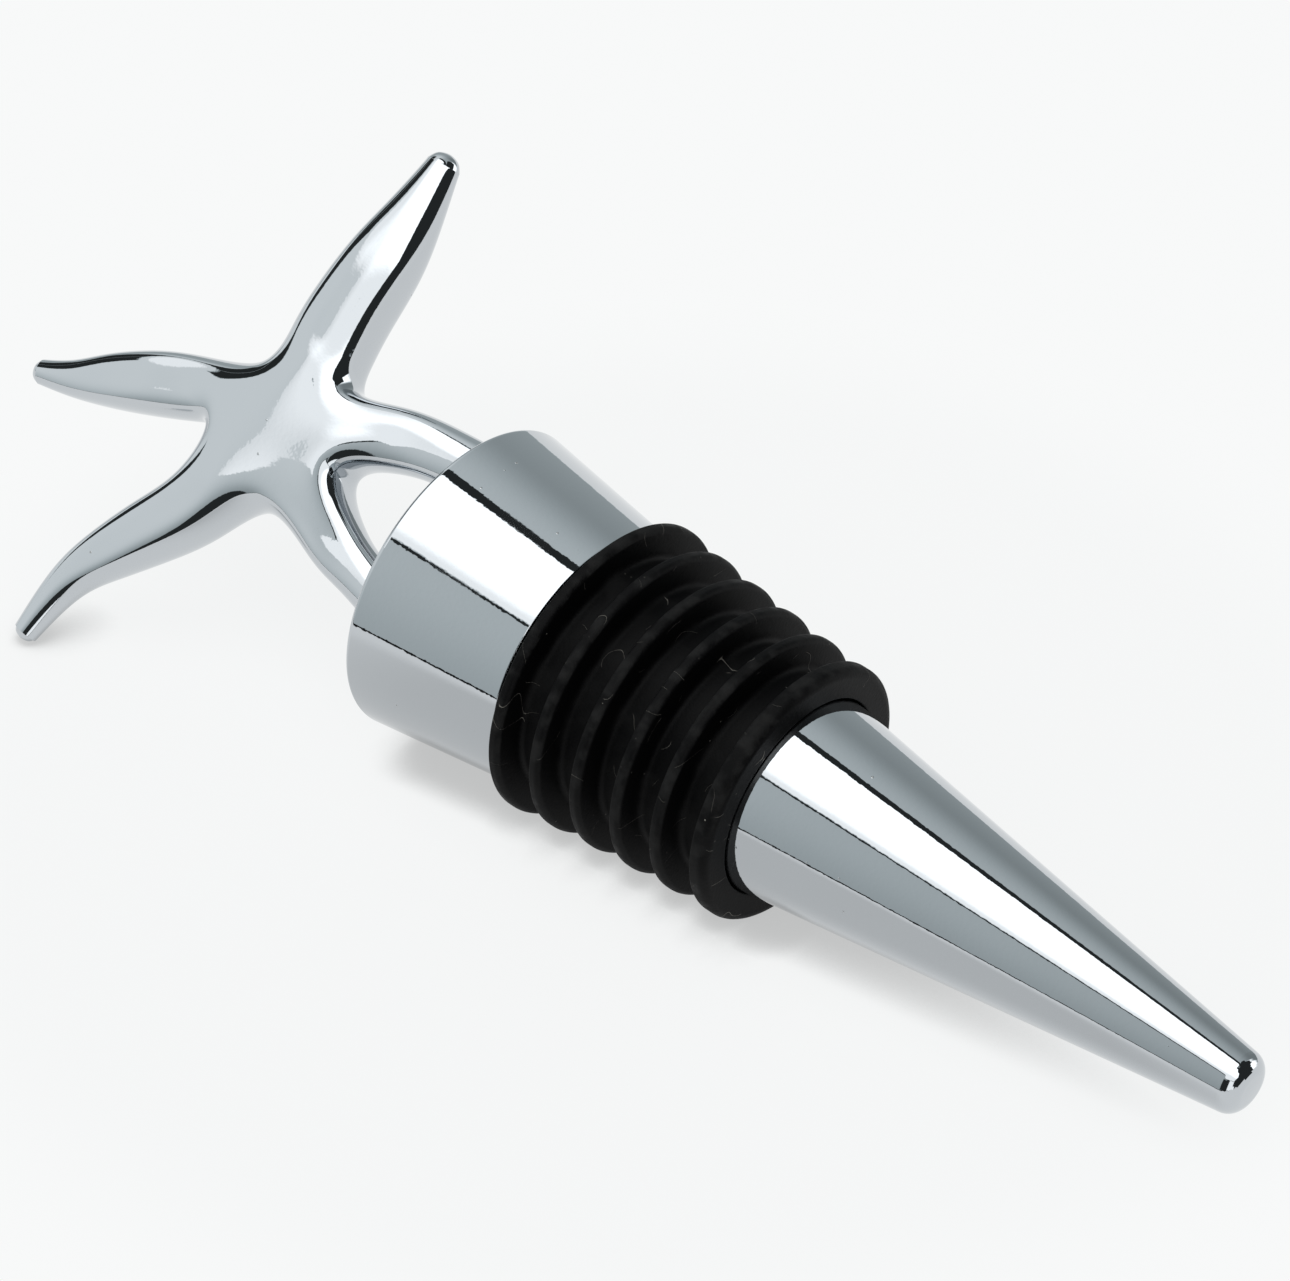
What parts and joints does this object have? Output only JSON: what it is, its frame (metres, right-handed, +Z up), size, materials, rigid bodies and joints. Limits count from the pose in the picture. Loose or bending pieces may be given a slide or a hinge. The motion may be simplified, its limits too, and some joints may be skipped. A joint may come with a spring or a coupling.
{
  "type": "bottle stopper",
  "caption": "Chromed taper stopper with a ribbed rubber sleeve for a bottle's neck, and a cast starfish finial that screws off its top.",
  "frame": {"origin": "on the surface that the stopper lies on, under the middle of its overall box", "axes": "+X along the stopper from the starfish to the tip, +Z up from the surface that it lies on; the stopper's own axis drops 5.0 degrees towards the tip"},
  "size_m": [0.1118, 0.0342, 0.0323],
  "materials": {
    "plated_body": "polished chrome plate over zinc alloy",
    "sleeve_rubber": "matte moulded rubber with dust",
    "stud_steel": "bright zinc-plated thread",
    "plated_foot": "polished chrome plate",
    "plated_starfish": "polished chrome plate over a smooth casting"
  },
  "bodies": {
    "stopper": {"stopper_body": "plated_body", "sealing_sleeve": "sleeve_rubber"},
    "stud": {"stud": "stud_steel"},
    "finial": {"foot_plate": "plated_foot", "starfish": "plated_starfish"}
  },
  "joints": [
    {"name": "finial_lift", "type": "slide", "parent": "stopper", "child": "stud", "axis": [-0.9962, 0, 0.0877], "range_m": [0, 0.008]},
    {"name": "finial_turn", "type": "hinge", "parent": "stud", "child": "finial", "pos_m": [-0.01535, -0.00145, 0.01265], "axis": [-0.9962, 0, 0.0877], "range_deg": [0, 2880]}
  ],
  "couplings": [
    {"joint": "finial_lift", "follows": "finial_turn", "m_per_rad": 0.00015915}
  ]
}
